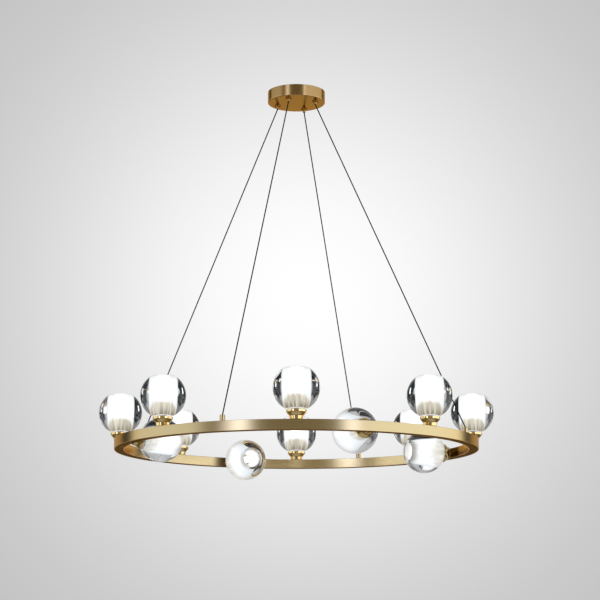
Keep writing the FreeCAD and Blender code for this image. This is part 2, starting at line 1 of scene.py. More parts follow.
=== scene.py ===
# %% [markdown]
# # A ring chandelier with glass ball lamps
#
# A flat brass ring hangs on four thin cables. Eight solid glass balls stand on it and four
# more lie inside it. Each ball is bored out, and a white core glows in the bore.
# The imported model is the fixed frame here: every piece is made where the frame has it,
# in metres, with the origin on the ceiling and Z up.

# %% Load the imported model
import json
import math

import bmesh
import bpy
from mathutils import Matrix, Vector

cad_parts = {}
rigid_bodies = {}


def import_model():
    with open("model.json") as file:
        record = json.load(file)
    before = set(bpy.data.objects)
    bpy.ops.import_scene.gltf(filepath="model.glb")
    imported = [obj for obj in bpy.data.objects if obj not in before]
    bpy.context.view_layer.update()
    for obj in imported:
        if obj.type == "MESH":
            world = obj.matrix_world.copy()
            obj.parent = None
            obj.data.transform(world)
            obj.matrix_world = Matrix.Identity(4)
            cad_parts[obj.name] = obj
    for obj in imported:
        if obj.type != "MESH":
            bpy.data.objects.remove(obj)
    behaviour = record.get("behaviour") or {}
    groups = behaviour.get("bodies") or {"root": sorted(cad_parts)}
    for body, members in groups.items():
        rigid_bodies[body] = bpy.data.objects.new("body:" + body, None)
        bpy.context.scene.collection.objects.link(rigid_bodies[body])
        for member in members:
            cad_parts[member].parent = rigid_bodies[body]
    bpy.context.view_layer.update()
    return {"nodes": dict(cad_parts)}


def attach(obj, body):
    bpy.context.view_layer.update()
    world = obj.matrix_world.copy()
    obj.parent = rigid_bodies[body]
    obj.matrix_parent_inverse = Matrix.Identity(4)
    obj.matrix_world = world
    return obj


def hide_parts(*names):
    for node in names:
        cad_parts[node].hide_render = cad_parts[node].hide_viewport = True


for starting_object in list(bpy.data.objects):
    bpy.data.objects.remove(starting_object)
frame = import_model()
scene = bpy.context.scene

# %% [markdown]
# ## The camera
#
# The photograph looks slightly up at the ring with a long lens. The lens, the distance and
# the tilt come from matching the outlines of the balls, the ring and the cables. The whole
# picture sits a little left of the lens axis, which is what the small shift is for.

# %% Place the camera
MM = 0.001
PICTURE_WIDTH = 600
SENSOR_WIDTH = 36.0
FOCAL_LENGTH_PX = 1818.6
LENS_AXIS_X_PX = 296.4
CAMERA_DISTANCE = 4.204
CAMERA_LEVEL = -1.3232
CAMERA_TILT = 0.19141

camera_data = bpy.data.cameras.new("camera")
camera_data.sensor_width = SENSOR_WIDTH
camera_data.lens = FOCAL_LENGTH_PX / PICTURE_WIDTH * SENSOR_WIDTH
camera_data.shift_x = 0.5 - LENS_AXIS_X_PX / PICTURE_WIDTH
camera = bpy.data.objects.new("camera", camera_data)
camera.location = (0, -CAMERA_DISTANCE, CAMERA_LEVEL)
camera.rotation_euler = (math.pi / 2 + CAMERA_TILT, 0, 0)
scene.collection.objects.link(camera)
scene.camera = camera
scene.view_settings.view_transform = "Standard"
print("lens %.1f mm, %.2f m away" % (camera_data.lens, CAMERA_DISTANCE))

# %% [markdown]
# ## Where the lamps, posts and cables sit
#
# The ring carries things at even steps. A seat is a matrix that takes a piece modelled
# upright at the origin to its place: out along a radius, turned, and for the lamps inside
# the ring also leaned over by a quarter turn, so that they point to the middle.

# %% Seats on the ring
RING_OUTER = 421 * MM
RING_WIDTH = 24 * MM
RING_HEIGHT = 22 * MM
RING_INNER = RING_OUTER - RING_WIDTH
RING_MIDDLE = RING_OUTER - RING_WIDTH / 2
RING_LEVEL = -854 * MM
RING_TOP = RING_LEVEL + RING_HEIGHT / 2
RING_BOTTOM = RING_LEVEL - RING_HEIGHT / 2
CUP_BASE_RADIUS = 13.8 * MM
GLAND_CIRCLE = 49 * MM
GLAND_TIP_LEVEL = -36 * MM
POST_HEIGHT = 13.6 * MM
UPRIGHT_LAMPS = 8
INWARD_LAMPS = 4
CABLES = 4
FIRST_INWARD_BEARING = 22.5
FIRST_CABLE_BEARING = 67.5
QUARTER_TURN = 90


def seat(radius, degrees, height, lean=0.0):
    """The matrix of a place at that radius, angle and height, leaned in by lean degrees."""
    angle = math.radians(degrees)
    spot = Matrix.Translation((radius * math.cos(angle), radius * math.sin(angle), height))
    turn = Matrix.Rotation(angle, 4, "Z")
    return spot @ turn @ Matrix.Rotation(math.radians(-lean), 4, "Y")


def bearings(count, first=0.0):
    """The bearings in degrees of so many even steps round the ring."""
    return [first + 360 / count * number for number in range(count)]


lamp_seats = {}
for number, degrees in enumerate(bearings(UPRIGHT_LAMPS), start=1):
    lamp_seats["up_%d" % number] = seat(RING_MIDDLE, degrees, RING_TOP)
inward_radius = math.sqrt(RING_INNER**2 - CUP_BASE_RADIUS**2)
for number, degrees in enumerate(bearings(INWARD_LAMPS, FIRST_INWARD_BEARING), start=1):
    lamp_seats["in_%d" % number] = seat(inward_radius, degrees, RING_LEVEL, QUARTER_TURN)
cable_angles = bearings(CABLES, FIRST_CABLE_BEARING)
print("lamps:", ", ".join(lamp_seats))

# %% [markdown]
# ## The cables
#
# Each cable is pulled straight by the ring's weight, from the tip of its gland under the
# canopy to the socket in the top of its post, so three points in a line give its whole
# curve. The curve's round bevel gives it its thickness. The thickness is put on the points,
# because the box that Blender keeps of a curve grows by the radius of its points.

# %% Stretch the four cables
CABLE_DIAMETER = 2.8 * MM
CABLE_IN_POST = 5.8 * MM
cables = []
for number, degrees in enumerate(cable_angles, start=1):
    start = seat(GLAND_CIRCLE, degrees, GLAND_TIP_LEVEL).translation
    mouth = seat(RING_MIDDLE, degrees, RING_TOP + POST_HEIGHT).translation
    end = mouth + (mouth - start).normalized() * CABLE_IN_POST
    curve = bpy.data.curves.new("black_cable_%d" % number, "CURVE")
    curve.dimensions = "3D"
    spline = curve.splines.new("NURBS")
    spline.points.add(2)
    for point, place in zip(spline.points, (start, (start + end) / 2, end)):
        point.co = (*place, 1)
        point.radius = CABLE_DIAMETER / 2
    spline.order_u = 3
    spline.use_endpoint_u = True
    curve.bevel_depth = 1.0
    curve.bevel_resolution = 3
    curve.use_fill_caps = True
    cable = bpy.data.objects.new("black_cable_%d" % number, curve)
    scene.collection.objects.link(cable)
    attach(cable, "cable_%d" % number)
    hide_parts("cable_%d" % number)
    cables.append(cable)
print("each cable is %.1f mm long" % ((end - start).length / MM))

# %% [markdown]
# ## Tools for turned pieces
#
# Nearly everything on this lamp is turned on a lathe, and a spin does the same: half of
# the section is drawn as a few points joined by edges, each corner is rounded with a
# bevel on its point, and the outline is spun about Z. The spin can leave the surface
# inside out, so the normals are worked out again once its ends are merged.

# %% A lathe
SIDES = 96
SMALL_SIDES = 48


def turned(corners, sides=SIDES):
    """A bmesh spun about Z. Each corner of the section is (radius, height, rounding) in mm."""
    shape = bmesh.new()
    points = [shape.verts.new((r * MM, 0, z * MM)) for r, z, _ in corners]
    for first, second in zip(points, points[1:] + points[:1]):
        shape.edges.new((first, second))
    for point, (_, _, rounding) in zip(points, corners):
        if rounding:
            bmesh.ops.bevel(
                shape,
                geom=[point],
                offset=rounding * MM,
                offset_type="OFFSET",
                segments=4,
                profile=0.5,
                affect="VERTICES",
                material=-1,
            )
    bmesh.ops.spin(
        shape,
        geom=shape.verts[:] + shape.edges[:],
        axis=(0, 0, 1),
        angle=math.tau,
        steps=sides,
        use_merge=True,
    )
    bmesh.ops.remove_doubles(shape, verts=shape.verts, dist=1e-6)
    bmesh.ops.recalc_face_normals(shape, faces=shape.faces)
    return shape


# %% [markdown]
# A shape becomes a piece once it is copied to its seats, smoothed and given to the body
# of the frame that it moves with. Edges sharper than the limit stay crisp.

# %% Make a piece of a shape
CRISP_ANGLE = math.radians(40)


def piece(name, shape, seats, body, replaced, materials):
    """Copy a shape to its seats in one mesh, and set that on a body in place of a node."""
    whole = bmesh.new()
    part = bpy.data.meshes.new("part")
    shape.to_mesh(part)
    for place in seats:
        before = len(whole.verts)
        whole.from_mesh(part)
        whole.verts.ensure_lookup_table()
        bmesh.ops.transform(whole, matrix=place, verts=whole.verts[before:])
    mesh = bpy.data.meshes.new(name)
    whole.to_mesh(mesh)
    whole.free()
    bpy.data.meshes.remove(part)
    mesh.shade_smooth()
    mesh.set_sharp_from_angle(angle=CRISP_ANGLE)
    for material in materials:
        mesh.materials.append(material)
    thing = bpy.data.objects.new(name, mesh)
    scene.collection.objects.link(thing)
    even = thing.modifiers.new("even_normals", "WEIGHTED_NORMAL")
    even.keep_sharp = True
    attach(thing, body)
    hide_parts(*replaced)
    return thing


# %% [markdown]
# ## Shader sums as plain expressions
#
# A finish is a small tree of nodes. `Value` wraps one socket, and writing a sum with it
# adds the Math nodes, so that a pattern reads like a formula. `Finish.add` makes any
# other node: its settings first, then the values or links of its inputs.

# %% A wrapped socket and a finish
INWARD_LAMPS_REACH = 380 * MM


class Value:
    """One output of a node. Sums with it add Math nodes to the same finish."""

    def __init__(self, finish, socket):
        self.finish = finish
        self.socket = socket

    def maths(self, operation, first, second=None):
        inputs = {0: first} if second is None else {0: first, 1: second}
        return self.finish.add("ShaderNodeMath", {"operation": operation}, inputs)

    def __add__(self, other):
        return self.maths("ADD", self, other)

    def __sub__(self, other):
        return self.maths("SUBTRACT", self, other)

    def __rsub__(self, other):
        return self.maths("SUBTRACT", other, self)

    def __mul__(self, other):
        return self.maths("MULTIPLY", self, other)

    def __truediv__(self, other):
        return self.maths("DIVIDE", self, other)

    __radd__ = __add__
    __rmul__ = __mul__

    def root(self):
        return self.maths("SQRT", self)

    def exp(self):
        return self.maths("EXPONENT", self)

    def sine(self):
        return self.maths("SINE", self)

    def size(self):
        return self.maths("ABSOLUTE", self)

    def rise(self, low, high, bottom=0.0, top=1.0):
        """A soft step from bottom to top as the value goes from low to high."""
        settings = {"interpolation_type": "SMOOTHSTEP"}
        inputs = {"Value": self, 1: low, 2: high, 3: bottom, 4: top}
        return self.finish.add("ShaderNodeMapRange", settings, inputs)


class Finish:
    """A node tree of a material or of the world, cleared and ready to be filled."""

    def __init__(self, owner):
        owner.use_nodes = True
        self.owner = owner
        self.tree = owner.node_tree
        self.tree.nodes.clear()

    def add(self, kind, settings=None, inputs=None, output=0):
        node = self.tree.nodes.new(kind)
        for name, setting in (settings or {}).items():
            if name == "stops":
                self.set_stops(node, setting)
            else:
                setattr(node, name, setting)
        for name, given in (inputs or {}).items():
            if isinstance(given, Value):
                self.tree.links.new(given.socket, node.inputs[name])
            else:
                node.inputs[name].default_value = given
        return Value(self, node.outputs[output]) if node.outputs else node

    def set_stops(self, node, stops):
        elements = node.color_ramp.elements
        while len(elements) < len(stops):
            elements.new(0.5)
        for element, (position, colour) in zip(elements, stops):
            element.position = position
            element.color = (*colour, 1)

    def mix(self, share, first, second):
        """A colour that goes from the first to the second as share goes from 0 to 1."""
        inputs = {"Factor": share, 6: first, 7: second}
        return self.add("ShaderNodeMix", {"data_type": "RGBA"}, inputs, output=2)

    def noise(self, place, scale, detail=2.0, w=None):
        settings = {"noise_dimensions": "3D" if w is None else "4D"}
        inputs = {"Vector": place, "Scale": scale, "Detail": detail}
        if w is not None:
            inputs["W"] = w
        return self.add("ShaderNodeTexNoise", settings, inputs)

    def place(self):
        """The point on the piece, in metres."""
        return self.add("ShaderNodeTexCoord", output="Object")

    def apart(self, vector):
        """The three parts of a vector."""
        node = self.add("ShaderNodeSeparateXYZ", inputs={0: vector}).socket.node
        return [Value(self, output) for output in node.outputs]

    def bearing(self, y, x):
        return self.add("ShaderNodeMath", {"operation": "ARCTAN2"}, {0: y, 1: x})

    def lamp_place(self):
        """Where a point of a lamp is across its axis and along it in mm, and 1 if it stands.

        The bores of the lamps inside the ring all lie nearer to its middle than the others.
        """
        x, y, z = self.apart(self.place())
        out = (x * x + y * y).root()
        upright = out.rise(INWARD_LAMPS_REACH - MM, INWARD_LAMPS_REACH + MM)
        round_ring = self.bearing(y, x) * INWARD_LAMPS_REACH
        inward_height = inward_radius - out
        across_one = z + upright * (x - z)
        across_other = round_ring + upright * (y - round_ring)
        height = inward_height + upright * (z - RING_TOP - inward_height)
        return self.vector(across_one, across_other, 0.0), height / MM, upright

    def vector(self, x, y, z):
        return self.add("ShaderNodeCombineXYZ", inputs={0: x, 1: y, 2: z})

    def end(self, surface, kind="ShaderNodeOutputMaterial"):
        self.add(kind, inputs={"Surface": surface})
        return self.owner


def finish(name):
    return Finish(bpy.data.materials.new(name))


# %% [markdown]
# ## Brass
#
# The ring and the canopy are brushed: fine scratches run round them, so a noise is
# stretched round the ring and squeezed across it. It moves the roughness, the tone and a
# very shallow bump. The ring's inner face is painted a little brighter than the rest, as
# painted light from the glowing balls that it faces, and painted dark close to each inward
# lamp, as a painted shade where the lamp hides it from the light. The cups are polished
# instead, with only a faint cloudiness left by the cloth.

# %% Brushed brass
PALE_BRASS = (0.63, 0.50, 0.28)
WARM_EDGE = (1.0, 0.62, 0.30, 1)
DULL_EDGE = (0.50, 0.32, 0.12, 1)
OLIVE_BRASS = (0.64, 0.41, 0.17)
CLAMP_BRASS = (0.40, 0.33, 0.20)
# A darker copy of the ring's brass for the cover under the ring: painted shade on the underside.
SHADED_COVER_BRASS = (0.36, 0.23, 0.09)
GLAND_BRASS = (0.42, 0.26, 0.09)
SCRATCH_TONE = 0.92
# The colour of the painted shade next to each inward lamp.
LAMP_SHADE = (0.13, 0.085, 0.04, 1)
LAMP_SHADE_EDGES = (0.77, 0.93)
FACE_DEPTH = (4 * MM, 6 * MM)


def brushed_brass(name, brass_colour, along, across, depth, rough=0.16, edge=WARM_EDGE, painted_light_gain=1.0):
    """Brass with scratches round the Z axis, at a scale per metre along and across them.

    The inner face is given painted light, brighter by the given factor, and a painted
    shade next to each inward lamp. The inward lamps are at the bearings where the sine of
    four times the bearing is 1.
    """
    scratched = [SCRATCH_TONE * part for part in brass_colour]
    painted_lit_brass = [min(painted_light_gain * part, 1.0) for part in brass_colour]
    shallow, deep = FACE_DEPTH
    brass = finish(name)
    x, y, z = brass.apart(brass.place())
    radius = (x * x + y * y).root()
    stretched = brass.vector(x * along, y * along, z * across)
    scratches = brass.noise(stretched, 1.0, 3.0, w=radius * across)
    clouds = brass.noise(brass.vector(x, y, z), 9.0, 2.0)
    worn = scratches * 0.7 + clouds * 0.3
    colour = brass.mix(worn.rise(0.3, 0.7), (*scratched, 1), (*brass_colour, 1))
    # Painted light: the ring's inner face is made brighter, as if lit by the glowing balls.
    inside = radius.rise(RING_INNER + shallow, RING_INNER + deep, 1, 0)
    colour = brass.mix(inside, colour, (*painted_lit_brass, 1))
    # Painted shade: the inner face goes dark next to each inward lamp.
    painted_lamp_shade_mask = (brass.bearing(y, x) * INWARD_LAMPS).sine().rise(*LAMP_SHADE_EDGES)
    on_the_ring = radius.rise(RING_INNER - deep, RING_INNER - shallow)
    colour = brass.mix(painted_lamp_shade_mask * on_the_ring * inside, colour, LAMP_SHADE)
    bump = brass.add(
        "ShaderNodeBump", inputs={"Height": scratches, "Strength": depth, "Distance": 0.0004}
    )
    surface = brass.add(
        "ShaderNodeBsdfPrincipled",
        inputs={
            "Base Color": colour,
            "Metallic": 1.0,
            "Roughness": scratches * 0.05 + clouds * 0.05 + rough,
            "Specular Tint": edge,
            "Normal": bump,
        },
    )
    return brass.end(surface)


# The ring's inner face gets a quarter more painted light.
ring_brass = brushed_brass("brushed_ring_brass", PALE_BRASS, 14.0, 1500.0, 0.05, painted_light_gain=1.25)
canopy_brass = brushed_brass("brushed_canopy_brass", OLIVE_BRASS, 40.0, 1800.0, 0.05)
clamp_brass = brushed_brass("brushed_clamp_brass", CLAMP_BRASS, 40.0, 2500.0, 0.05)
small_brass = brushed_brass("brushed_fitting_brass", PALE_BRASS, 40.0, 2500.0, 0.08)
# The cover's darker colour is painted shade; its higher roughness is real.
shaded_cover_brass = brushed_brass(
    "brushed_cover_brass_painted_shade", SHADED_COVER_BRASS, 14.0, 1500.0, 0.05, rough=0.4, edge=DULL_EDGE
)
gland_brass = brushed_brass(
    "brushed_gland_brass", GLAND_BRASS, 40.0, 2500.0, 0.05, rough=0.25, edge=DULL_EDGE
)
print("brushed finishes:", ring_brass.name, canopy_brass.name, small_brass.name)

# %% Polished brass
polished = finish("polished_cup_brass")
haze = polished.noise(polished.place(), 60.0, 3.0)
polished_brass = polished.end(
    polished.add(
        "ShaderNodeBsdfPrincipled",
        inputs={
            "Base Color": polished.mix(haze, (0.86, 0.62, 0.25, 1), (0.94, 0.74, 0.38, 1)),
            "Metallic": 1.0,
            "Roughness": haze * 0.06 + 0.05,
        },
    )
)
print("polished finish:", polished_brass.name)

# %% [markdown]
# ## Glass and light
#
# The balls are clear glass with an index of 1.5. A faint waviness keeps it from looking
# computed. Their bores are etched: the wall of a bore is the same glass made rough, mixed
# with a painted white glow, which stands in for the light inside soaking into it. The share
# of the painted glow grows where the wall is seen at a slant, and there it is painted a
# little blue-grey.
#
# At a ball's foot the painted glow gives way to beige streaks along the lamp's axis, darker
# towards the bottom: a painted shadow of the socket and painted reflections of the cup, as
# they would show through the thick glass. Towards the mouth the painted glow dims, most of
# all in the inward lamps, whose mouths face the viewer.
#
# The core in the bore is a thin white tube with a painted glow, and it lets part of the
# light through. Its painted glow is dimmer and warmer in the inward lamps and fades towards
# its top. The bulb in it is frosted and glows as well.

# %% Clear glass
crystal = finish("clear_ball_glass")
wave = crystal.noise(crystal.place(), 35.0, 1.0)
clear_glass = crystal.end(
    crystal.add(
        "ShaderNodeBsdfPrincipled",
        inputs={
            "Base Color": (0.985, 0.99, 1.0, 1),
            "Roughness": 0.0,
            "IOR": 1.5,
            "Transmission Weight": 1.0,
            "Normal": crystal.add(
                "ShaderNodeBump", inputs={"Height": wave, "Strength": 0.02, "Distance": 0.001}
            ),
        },
    )
)

print("clear glass:", clear_glass.name)

# %% The etched bore
etched = finish("etched_bore_glass_painted_glow")
grain = etched.noise(etched.place(), 900.0, 2.0)
slant = etched.add("ShaderNodeLayerWeight", inputs={"Blend": 0.5}, output=1)
across, height, upright = etched.lamp_place()
# Painted light: the bore wall glows in these colours in place of the bulb's light soaking into it.
PAINTED_BORE_GLOW = (1.03, 1.05, 1.06, 1)
PAINTED_SLANT_TINT = (0.72, 0.78, 0.82, 1)
PAINTED_MOUTH_DIMMING = (0.70, 0.70, 0.70, 1)
PAINTED_INWARD_MOUTH_DIMMING = (0.36, 0.35, 0.32, 1)
MOUTH_FADE = (92, 112)
INWARD_MOUTH_FADE = (82, 104)
# Painted shadow of the socket and painted reflections of the cup at each ball's foot.
FOOT_PALE = (0.76, 0.71, 0.59, 1)
FOOT_DARK = (0.54, 0.49, 0.38, 1)
FOOT_SHADE = (0.17, 0.14, 0.08, 1)
FOOT_FADE = (54, 66)
FOOT_SHADE_FADE = (27, 50)
INWARD_FOOT_SHARE = 0.55
FOOT_GLOW = 0.92
FOOT_SLANT = 16
FOOT_RAGGEDNESS = 7
STREAK_SCALE = 130.0
FINE_STREAK_SCALE = 240.0
GLOW_SLANT = (0.0, 0.22)
WALL_GLOW = (0.3, 0.97)
# The painted glow, tinted at a slant and painted dimmer towards the mouth.
sides = etched.mix(slant.rise(0.50, 0.90), PAINTED_BORE_GLOW, PAINTED_SLANT_TINT)
sides = etched.mix(height.rise(*MOUTH_FADE), sides, PAINTED_MOUTH_DIMMING)
sides = etched.mix(height.rise(*INWARD_MOUTH_FADE) * (1 - upright), sides, PAINTED_INWARD_MOUTH_DIMMING)
# Beige streaks at the foot: painted shadow and painted reflections, darker towards the bottom.
painted_streaks = etched.noise(across, STREAK_SCALE, 1.0)
painted_foot_shading = etched.mix(painted_streaks.rise(0.40, 0.60), FOOT_DARK, FOOT_PALE)
fine_painted_streaks = etched.noise(across, FINE_STREAK_SCALE, 1.0)
in_shade = height.rise(*FOOT_SHADE_FADE, 0.85, 0) * fine_painted_streaks.rise(0.38, 0.56)
painted_foot_shading = etched.mix(in_shade, painted_foot_shading, FOOT_SHADE)
foot_line = height + slant * FOOT_SLANT + fine_painted_streaks * FOOT_RAGGEDNESS
foot_share = upright * (1 - INWARD_FOOT_SHARE) + INWARD_FOOT_SHARE
foot = foot_line.rise(*FOOT_FADE, 1, 0) * foot_share
foot_glow = foot * FOOT_GLOW
wall_glow = slant.rise(*GLOW_SLANT, *WALL_GLOW)
glow_share = foot_glow + wall_glow * (1 - foot_glow)
etched_glass = etched.end(
    etched.add(
        "ShaderNodeMixShader",
        inputs={
            0: glow_share,
            1: etched.add(
                "ShaderNodeBsdfPrincipled",
                inputs={
                    "Base Color": (1, 1, 1, 1),
                    "Roughness": grain * 0.1 + 0.4,
                    "IOR": 1.5,
                    "Transmission Weight": 1.0,
                },
            ),
            2: etched.add(
                "ShaderNodeBsdfPrincipled",
                inputs={
                    "Base Color": (0.1, 0.1, 0.1, 1),
                    "Roughness": 0.6,
                    "Emission Color": etched.mix(foot, sides, painted_foot_shading),
                    "Emission Strength": 1.0,
                },
            ),
        },
    )
)
print("etched glass:", etched_glass.name)

# %% The white core and its painted glow
core = finish("white_core_painted_glow")
grain = core.noise(core.place(), 300.0, 2.0)
CORE_OPACITY = 0.30
# Painted glow: dimmer and warmer in the inward lamps, and painted dim towards the top.
INWARD_CORE = (0.45, 0.43, 0.38, 1)
UPRIGHT_CORE = (1, 1, 1, 1)
CORE_END = (0.2, 0.2, 0.2, 1)
CORE_FADE = (78, 112)
_, height, upright = core.lamp_place()
painted_core_glow = core.mix(upright, INWARD_CORE, UPRIGHT_CORE)
core_white = core.end(
    core.add(
        "ShaderNodeMixShader",
        inputs={
            0: CORE_OPACITY,
            1: core.add("ShaderNodeBsdfTransparent"),
            2: core.add(
                "ShaderNodeBsdfPrincipled",
                inputs={
                    "Base Color": core.mix(grain, (0.86, 0.87, 0.88, 1), (0.92, 0.92, 0.93, 1)),
                    "Roughness": 0.5,
                    "Emission Color": core.mix(height.rise(*CORE_FADE), painted_core_glow, CORE_END),
                    "Emission Strength": 1.1,
                },
            ),
        },
    )
)

print("glowing core:", core_white.name)

# %% The frosted bulb
glow = finish("glowing_bulb_glass")
frost = glow.noise(glow.place(), 500.0, 2.0)
bulb_glass = glow.end(
    glow.add(
        "ShaderNodeBsdfPrincipled",
        inputs={
            "Base Color": glow.mix(frost, (0.90, 0.88, 0.84, 1), (0.95, 0.94, 0.92, 1)),
            "Roughness": frost * 0.2 + 0.3,
            "Emission Color": (1.0, 0.97, 0.92, 1),
            "Emission Strength": 0.75,
        },
    )
)
print("frosted bulb:", bulb_glass.name)

# %% [markdown]
# ## The other finishes
#
# Ceramic, steel, rubber and plastic drift a little in colour and roughness with a noise.
# The cable's braid is the product of two sine waves that wind round it opposite ways, one
# for each lay of the strands.

# %% Ceramic, steel and plastic


def plain_finish(name, dark, light, scale, metallic, smooth, rough):
    """A finish whose colour and roughness drift between two limits with a noise."""
    made = finish(name)
    drift = made.noise(made.place(), scale, 4.0)
    surface = made.add(
        "ShaderNodeBsdfPrincipled",
        inputs={
            "Base Color": made.mix(drift, (*dark, 1), (*light, 1)),
            "Metallic": metallic,
            "Roughness": drift * (rough - smooth) + smooth,
        },
    )
    return made.end(surface)


porcelain = plain_finish(
    "glazed_porcelain", (0.24, 0.20, 0.14), (0.32, 0.27, 0.20), 120, 0.0, 0.15, 0.3
)
white_ceramic = plain_finish(
    "white_bulb_ceramic", (0.86, 0.85, 0.83), (0.90, 0.89, 0.87), 120, 0.0, 0.2, 0.35
)
steel = plain_finish(
    "zinc_plated_steel", (0.50, 0.51, 0.53), (0.68, 0.69, 0.70), 90, 1.0, 0.25, 0.5
)
wire = plain_finish("wire_sleeve", (0.02, 0.02, 0.02), (0.05, 0.05, 0.05), 400, 0.0, 0.4, 0.6)
gasket = plain_finish("clear_silicone", (0.24, 0.21, 0.15), (0.34, 0.30, 0.22), 200, 0.0, 0.4, 0.6)
terminal = plain_finish(
    "white_terminal_plastic", (0.74, 0.73, 0.70), (0.82, 0.81, 0.78), 150, 0.0, 0.35, 0.5
)

print("plain finishes:", porcelain.name, white_ceramic.name, steel.name, wire.name)

# %% The braided cable
braid = finish("black_braided_cable")
u, v, _ = braid.apart(braid.add("ShaderNodeTexCoord", output="UV"))
PICKS = 300.0
STRANDS = 6.0
left_lay = ((u * PICKS + v * STRANDS) * math.tau).sine()
right_lay = ((u * PICKS - v * STRANDS) * math.tau).sine()
weave = left_lay * right_lay
braid_bump = braid.add(
    "ShaderNodeBump", inputs={"Height": weave, "Strength": 0.4, "Distance": 0.0002}
)
black_braid = braid.end(
    braid.add(
        "ShaderNodeBsdfPrincipled",
        inputs={
            "Base Color": braid.mix(
                weave.rise(-1, 1), (0.004, 0.004, 0.005, 1), (0.016, 0.016, 0.018, 1)
            ),
            "Specular IOR Level": 0.2,
            "Roughness": weave.rise(-1, 1, 0.55, 0.42),
            "Normal": braid_bump,
        },
    )
)
for cable in cables:
    cable.data.materials.append(black_braid)
print("materials:", len(bpy.data.materials))

# %% [markdown]
# ## The glass balls
#
# A ball starts as a sphere. Two plane cuts take off its foot and its mouth, and the open
# rim at the mouth is then pulled in to the bore, down to the bore's floor, in to the
# socket's hole and down to the foot. A bevel breaks the ground edges.

# %% Model one ball
BALL_RADIUS = 50.0
BALL_HEIGHT = 67.0
FOOT_RADIUS = 17.0
MOUTH_RADIUS = 26.5
BORE_RADIUS = 21.0
WELL_RADIUS = 13.3
WEB = 6.0
FOOT_HEIGHT = BALL_HEIGHT - math.sqrt(BALL_RADIUS**2 - FOOT_RADIUS**2)
MOUTH_HEIGHT = BALL_HEIGHT + math.sqrt(BALL_RADIUS**2 - MOUTH_RADIUS**2)
FLOOR_HEIGHT = FOOT_HEIGHT + WEB
WASHER = 1.5
MOUTH_EDGE = 0.7
BALL_SIDES = 112


def open_rim(shape, height):
    """The boundary edges of a shape that lie at a height in mm."""
    return [
        edge
        for edge in shape.edges
        if edge.is_boundary and abs(edge.verts[0].co.z - height * MM) < 1e-6
    ]


def pull_rim(shape, rim, radius, height):
    """Extrude a round rim to a new radius and height in mm, and return the new rim."""
    made = bmesh.ops.extrude_edge_only(shape, edges=rim)["geom"]
    points = [g for g in made if isinstance(g, bmesh.types.BMVert)]
    old = points[0].co.copy()
    widening = radius * MM / math.hypot(old.x, old.y)
    bmesh.ops.scale(shape, verts=points, vec=(widening, widening, 1))
    bmesh.ops.translate(shape, verts=points, vec=(0, 0, height * MM - old.z))
    return [g for g in made if isinstance(g, bmesh.types.BMEdge) and g.is_boundary]


def glass_ball():
    ball = bmesh.new()
    bmesh.ops.create_uvsphere(
        ball, u_segments=BALL_SIDES, v_segments=BALL_SIDES // 2, radius=BALL_RADIUS * MM
    )
    bmesh.ops.translate(ball, verts=ball.verts, vec=(0, 0, BALL_HEIGHT * MM))
    for height, way in ((MOUTH_HEIGHT, 1), (FOOT_HEIGHT, -1)):
        bmesh.ops.bisect_plane(
            ball,
            geom=ball.verts[:] + ball.edges[:] + ball.faces[:],
            plane_co=(0, 0, height * MM),
            plane_no=(0, 0, way),
            clear_outer=True,
        )
    mouth_edges = open_rim(ball, MOUTH_HEIGHT)
    bore_rim = pull_rim(ball, mouth_edges, BORE_RADIUS, MOUTH_HEIGHT)
    floor_rim = pull_rim(ball, bore_rim, BORE_RADIUS, FLOOR_HEIGHT)
    well_rim = pull_rim(ball, floor_rim, WELL_RADIUS, FLOOR_HEIGHT)
    foot_inner = pull_rim(ball, well_rim, WELL_RADIUS, FOOT_HEIGHT)
    foot_outer = [e for e in open_rim(ball, FOOT_HEIGHT) if e not in foot_inner]
    bmesh.ops.bridge_loops(ball, edges=foot_inner + foot_outer)
    bmesh.ops.recalc_face_normals(ball, faces=ball.faces)
    for face in ball.faces:
        middle = face.calc_center_median()
        reach = math.hypot(middle.x, middle.y)
        on_wall = abs(face.normal.z) < 0.01 and abs(reach - BORE_RADIUS * MM) < 0.5 * MM
        face.material_index = 1 if on_wall else 0
    bmesh.ops.bevel(
        ball,
        geom=[e for e in mouth_edges if e.is_valid] + [e for e in bore_rim if e.is_valid],
        offset=MOUTH_EDGE * MM,
        offset_type="OFFSET",
        segments=3,
        profile=0.5,
        affect="EDGES",
        material=-1,
    )
    return ball


ball_shape = glass_ball()
print("a ball has", len(ball_shape.faces), "faces")

# %% Set the twelve balls
for name, place in lamp_seats.items():
    ball_name = "glass_ball_" + name
    finishes = [clear_glass, etched_glass]
    piece(ball_name, ball_shape, [place], "ring", ["orb_" + name], finishes)

# %% [markdown]
# ## The cups
#
# The stepped cup is turned and then polished: a base that swells to a neck, a flared
# bowl, and an upright rim that the ball's foot sits in. The corners are well rounded,
# which is what gives the bright lines round it.

